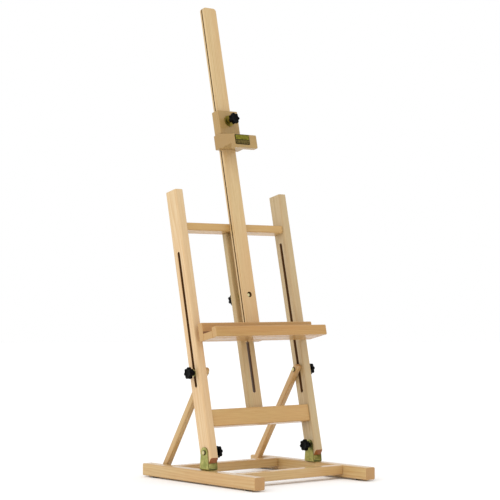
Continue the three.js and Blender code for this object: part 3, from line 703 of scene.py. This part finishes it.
def clamp_plate():
    """A plain nameplate: a dark rim round two brushed panels."""
    low, high = extent("clamp_plate", LEANING)
    rim, gap, edge = PLATE["rim"], PLATE["gap"], PLATE_LAYERS["edge"]
    middle = low.z + (high.z - low.z) * PLATE["split"]
    border = plate_metal("plate_border", srgb(58, 50, 16), srgb(34, 28, 8))
    outline = rounded_rect((low.x, low.z), (high.x, high.z), PLATE["corner"])
    bm = prism(outline, "Y", low.y + PLATE_LAYERS["border_from"], high.y, edge)
    own(new_object("clamp_plate_border", bm, LEANING, border), "clamp", "plate_metal", "clamp_plate")
    halves = {
        "upper": (middle + gap / 2, high.z - rim, srgb(138, 132, 44), srgb(100, 94, 22)),
        "lower": (low.z + rim, middle - gap / 2, srgb(124, 108, 58), srgb(74, 60, 22)),
    }
    for name, (bottom, top, bright, dull) in halves.items():
        outline = rounded_rect((low.x + rim, bottom), (high.x - rim, top), PLATE["panel_corner"])
        depths = low.y + PLATE_LAYERS["panel_from"], low.y + PLATE_LAYERS["panel_to"]
        bm = prism(outline, "Y", *depths, edge)
        panel = new_object(f"clamp_plate_{name}", bm, LEANING, plate_metal(f"plate_{name}", bright, dull))
        own(panel, "clamp", "plate_metal", "clamp_plate")


# ---- Metal, plastic and rubber ----

def curve_between(start, corner, end, steps=8):
    """Points on a quadratic curve."""
    shares = [i / steps for i in range(steps + 1)]
    return [
        tuple((1 - t) ** 2 * a + 2 * t * (1 - t) * b + t * t * c for a, b, c in zip(start, corner, end))
        for t in shares
    ]


def bolt_profile(length, radius):
    """A domed head that starts at height 0, and its shank."""
    dome = curve_between((0, 0), (0.88 * radius, 0.1 * HEAD_HEIGHT), (radius, 0.82 * HEAD_HEIGHT), 12)
    rim = [(radius - 0.2 * MM, HEAD_HEIGHT), (SHANK, HEAD_HEIGHT)]
    return dome + rim + [(SHANK, length - 1 * MM), (SHANK - 1 * MM, length), (0, length)]


def ring_profile(length, radius):
    """A washer or a spacer, as a closed profile."""
    bore, edge = BORE, RING_EDGE
    outer = [(radius - edge, 0), (radius, edge), (radius, length - edge), (radius - edge, length)]
    inner = [(bore + edge, length), (bore, length - edge), (bore, edge), (bore + edge, 0)]
    return outer + inner + outer[:1]


def turned(name, node, axis_at, direction, profile, body, slot, material):
    """A turned piece the size of its CAD node, which starts at the profile's height 0."""
    place, length, radius = turned_place(node, axis_at, direction)
    piece = new_object(name, revolve(profile(length, radius)), place, material)
    weld(piece)
    own(piece, body, slot, node)


def weld(piece):
    """Joins the points that a closed profile has twice."""
    bm = bmesh.new()
    bm.from_mesh(piece.data)
    bmesh.ops.remove_doubles(bm, verts=bm.verts, dist=WELD)
    bmesh.ops.recalc_face_normals(bm, faces=bm.faces)
    bm.to_mesh(piece.data)
    bm.free()


def zinc_for(profile):
    return BOLT_ZINC if profile is bolt_profile else ZINC


def bolts_and_rings():
    for side, sign in SIDES.items():
        inward, outward = (-sign, 0, 0), (sign, 0, 0)
        pivot, knob = f"prop_{side}_swing", f"prop_{side}_knob_turn"
        rows = [
            ("bracket_bolt", f"bracket_{side}_knob_turn", inward, bolt_profile, "base"),
            ("prop_pivot", pivot, outward, bolt_profile, "base"),
            ("prop_spacer", pivot, outward, ring_profile, "base"),
            ("prop_bolt", knob, outward, bolt_profile, f"prop_{side}"),
            ("prop_washer", knob, outward, ring_profile, f"prop_{side}"),
        ]
        for kind, joint, direction, profile, body in rows:
            node = f"{kind}_{side}"
            turned(f"{node}_turned", node, joint, direction, profile, body, "zinc", zinc_for(profile))


def mast_hardware():
    back = JOINTS["mast_knob_turn"]["axis"]
    rows = {"mast_bolt": bolt_profile, "mast_spacer": ring_profile, "mast_washer": ring_profile}
    for node, profile in rows.items():
        turned(f"{node}_turned", node, "mast_knob_turn", back, profile, "mast", "zinc", zinc_for(profile))


def flange_profile(length, radius):
    """A pressed disc with a collar."""
    neck, disc, step = FLANGE["neck"], FLANGE["disc"], FLANGE["step"]
    return [
        (BORE, 0), (radius - step, 0), (radius, step), (radius, disc - step), (radius - step, disc),
        (neck + 3 * step, disc), (neck + step, disc + 0.6 * step), (neck, disc + 2 * step),
        (neck, length - step), (neck - step, length), (BORE, length), (BORE, 0),
    ]


def rod_profile(length, radius):
    """A stud with its ends' edges broken."""
    tip = radius - ROD_EDGE
    return [(0, 0), (tip, 0), (radius, ROD_EDGE), (radius, length - ROD_EDGE), (tip, length), (0, length)]


def clamp_hardware():
    forward = [-c for c in JOINTS["clamp_knob_turn"]["axis"]]
    rows = [("clamp_flange", flange_profile, "clamp"), ("clamp_stud", rod_profile, "clamp_knob")]
    for node, profile, body in rows:
        turned(f"{node}_turned", node, "clamp_knob_turn", forward, profile, body, "zinc", FLANGE_ZINC)


def knob_profile(length, radius):
    """A star knob: a hub on its seat, the lobed rim, and a shallow dish in its face. The last number of a
    point is its share of the lobes."""
    hub, rim_under, top = 0.45 * radius, 0.47 * length, length
    rows = [
        (0, 0, 0), (hub - 0.6 * MM, 0, 0), (hub, 0.6 * MM, 0), (hub, rim_under - 1 * MM, 0),
        (hub + 0.7 * MM, rim_under - 0.2 * MM, 0.1), (0.78 * radius, rim_under, 0.7),
    ]
    under = curve_between((0.9 * radius, rim_under), (radius, rim_under), (radius, rim_under + 2.2 * MM), 5)
    over = curve_between((radius, top - 3 * MM), (radius, top), (0.84 * radius, top), 6)
    rows += [(*point, 1) for point in under + over]
    dish = [
        (0.76 * radius, top, 0.85), (0.66 * radius, top - 0.1 * MM, 0.5),
        (0.58 * radius, top - 0.5 * MM, 0.15), (0.5 * radius, top - 1.1 * MM, 0),
        (0.3 * radius, top - 1.4 * MM, 0), (0, top - 1.5 * MM, 0),
    ]
    return rows + dish


def knob_lobes(angle):
    """How far the rim is drawn in at an angle: narrow valleys between full lobes."""
    return KNOB_LOBE_DEPTH * (0.5 - 0.5 * math.cos(KNOB_LOBES * angle)) ** KNOB_VALLEY_POWER


def star_knobs():
    """Each knob on its joint's axis, with its face outwards."""
    rows = [("mast_knob", "mast_knob_turn", JOINTS["mast_knob_turn"]["axis"])]
    rows.append(("clamp_knob", "clamp_knob_turn", [-c for c in JOINTS["clamp_knob_turn"]["axis"]]))
    for side, sign in SIDES.items():
        rows.append((f"bracket_knob_{side}", f"bracket_{side}_knob_turn", (-sign, 0, 0)))
        rows.append((f"prop_knob_{side}", f"prop_{side}_knob_turn", (sign, 0, 0)))
    for node, joint, direction in rows:
        place, length, radius = turned_place(node, joint, direction)
        bm = revolve(knob_profile(length, radius), KNOB_LOBES * KNOB_LOBE_STEPS, knob_lobes)
        own(new_object(f"{node}_star", bm, place, BLACK_PLASTIC), node, "knob_plastic", node)


def screw_head(name, node, centre, direction, body):
    """A countersunk screw with a cross recess."""
    place, length, radius = turned_place(node, centre, direction)
    shank, cone = 0.45 * radius, 0.6 * radius
    profile = [
        (0, 0), (radius - 0.2 * MM, 0), (radius, 0.2 * MM),
        (shank, cone), (shank, length - 2 * shank), (0, length),
    ]
    piece = new_object(name, revolve(profile, ROUND_STEPS // 2), place, ZINC)
    long, thin, deep = 0.6 * radius, 0.13 * radius, 0.35 * radius
    arms = [[(-a, -b), (a, -b), (a, b), (-a, b)] for a, b in ((long, thin), (thin, long))]
    cut(piece, [tool(outline, "Z", -OVERCUT, deep, place, ZINC) for outline in arms], SCREW_RECESS_EDGE)
    own(piece, body, "zinc", node)


def middle_of(node, place=UPRIGHT):
    low, high = extent(node, place)
    return place @ ((low + high) / 2)


def screws():
    for side in SIDES:
        node = f"bracket_screw_{side}"
        screw_head(f"{node}_turned", node, middle_of(node), (0, 0, -1), "base")
    into_mast = LEANING.to_3x3() @ Vector((0, 1, 0))
    for node in ("tray_screw_1", "tray_screw_2"):
        screw_head(f"{node}_turned", node, middle_of(node, LEANING), into_mast, "mast")


def ear_half_width(height, foot):
    """Half the width of a bracket's ear at a height above its bolt, which is negative below it."""
    top = BRACKET_TOP_RADIUS
    if height >= 0:
        return math.sqrt(max(top * top - height * height, 0.0))
    return top + (foot - top) * min(-height / (BRACKET_TAPER * top), 1)


def bracket_path(half, floor, top):
    """Half of the bracket's section, from the middle of its floor to the top of an ear: across, height."""
    bend = arc((half - BRACKET_BEND, floor + BRACKET_BEND), BRACKET_BEND, -math.pi / 2, 0)
    ear_from = floor + BRACKET_BEND
    steps = EAR_STRAIGHT_STEPS
    straight = [ear_from + (PIVOT.z - ear_from) * i / steps for i in range(1, steps + 1)]
    steps = EAR_ROUND_STEPS
    rounds = [PIVOT.z + (top - PIVOT.z) * math.sin(math.pi / 2 * i / steps) for i in range(1, steps + 1)]
    return [(0, floor)] + bend + [(half, z) for z in straight + rounds]


def bracket(side):
    """A U of bent sheet, with its ears drawn in to round tops."""
    name = f"bracket_{side}"
    low, high = extent(name)
    middle = (low + high) / 2
    half = (high.x - low.x - SHEET) / 2
    foot = (high.y - low.y) / 2
    right = bracket_path(half, low.z + SHEET / 2, high.z - EAR_TOP_CLEARANCE)
    path = [(-x, z) for x, z in reversed(right[1:])] + right
    bm = bmesh.new()
    shares = [2 * i / EAR_COLUMNS - 1 for i in range(EAR_COLUMNS + 1)]
    rows = []
    for x, z in path:
        width = max(ear_half_width(z - PIVOT.z, foot), EAR_HALF_LEAST)
        rows.append([bm.verts.new((middle.x + x, middle.y + width * t, z)) for t in shares])
    for row, following in zip(rows, rows[1:]):
        for i in range(EAR_COLUMNS):
            bm.faces.new((row[i], row[i + 1], following[i + 1], following[i]))
    piece = new_object(f"{name}_sheet", bm, UPRIGHT, BRACKET_ZINC)
    thick = piece.modifiers.new("sheet", "SOLIDIFY")
    thick.thickness = SHEET
    thick.offset = 0
    break_edges(piece, SHEET_EDGE)
    settle(piece)
    own(piece, "base", "zinc", name)


def foot_profile(length, radius):
    """A foot with a rounded lower edge, which rests on height 0."""
    lower = curve_between((radius - 0.6 * length, 0), (radius, 0), (radius, length - 0.3 * MM), 6)
    return [(0, 0)] + lower + [(radius - 0.3 * MM, length), (0, length)]


def feet():
    for side in SIDES:
        for end in ("front", "rear"):
            node = f"foot_{end}_{side}"
            turned(f"{node}_pad", node, middle_of(node), (0, 0, 1), foot_profile, "base", "rubber", RUBBER)


# ---- Stage, light and camera ----

VIEW = {"azimuth": -39.03, "elevation": -1.86, "roll": -0.13, "distance": 4.143, "lens": 115.5}
VIEW_TARGET = Vector((-0.057, -0.0424, 0.5956))
CLIP_END = 100
FLOOR_RADIUS = 14
FLOOR_DROP = 0.2 * MM
KEY = {"azimuth": -80, "elevation": 42, "strength": 0.8, "angle": 50}


def towards(azimuth, elevation):
    """From the easel towards a viewer or a light. Azimuth 0 is in front, and negative is to the left."""
    a, e = math.radians(azimuth), math.radians(elevation)
    return Vector((math.sin(a) * math.cos(e), -math.cos(a) * math.cos(e), math.sin(e)))


def camera():
    """A long lens from the front left, a little below the middle of the easel."""
    away = towards(VIEW["azimuth"], VIEW["elevation"])
    data = bpy.data.cameras.new("camera")
    data.lens = VIEW["lens"]
    data.clip_end = CLIP_END
    made = bpy.data.objects.new("camera", data)
    bpy.context.scene.collection.objects.link(made)
    roll = Matrix.Rotation(math.radians(VIEW["roll"]), 4, "Z")
    turn = (-away).to_track_quat("-Z", "Y").to_matrix().to_4x4() @ roll
    made.matrix_world = Matrix.Translation(VIEW_TARGET + VIEW["distance"] * away) @ turn
    bpy.context.scene.camera = made


def floor():
    """A pale disc wide enough to reach the horizon."""
    bm = bmesh.new()
    bmesh.ops.create_circle(bm, cap_ends=True, segments=96, radius=FLOOR_RADIUS)
    bmesh.ops.translate(bm, verts=bm.verts, vec=(0, 0, -FLOOR_DROP))
    n = Nodes("floor")
    material = n.set(Base_Color=(0.95, 0.95, 0.95, 1), Roughness=0.9, Specular_IOR_Level=0.1)
    new_object("floor", bm, UPRIGHT, material)


def light():
    """A white room, and a soft distant light from the left."""
    world = bpy.data.worlds.new("studio")
    world.use_nodes = True
    background = world.node_tree.nodes["Background"]
    background.inputs["Color"].default_value = (1, 1, 1, 1)
    background.inputs["Strength"].default_value = 1.0
    bpy.context.scene.world = world
    bpy.context.scene.view_settings.view_transform = "Standard"
    data = bpy.data.lights.new("key", "SUN")
    data.energy = KEY["strength"]
    data.angle = math.radians(KEY["angle"])
    made = bpy.data.objects.new("key", data)
    bpy.context.scene.collection.objects.link(made)
    made.rotation_mode = "QUATERNION"
    away = towards(KEY["azimuth"], KEY["elevation"])
    made.rotation_quaternion = (-away).to_track_quat("-Z", "Y")


def build():
    camera()
    light()
    floor()
    rails()
    base_crossbars()
    posts()
    frame_crossbars()
    centre_post()
    props()
    mast()
    tray()
    clamp_saddle()
    clamp_nose()
    clamp_plate()
    bolts_and_rings()
    mast_hardware()
    clamp_hardware()
    star_knobs()
    screws()
    for side in SIDES:
        bracket(side)
    feet()


build()
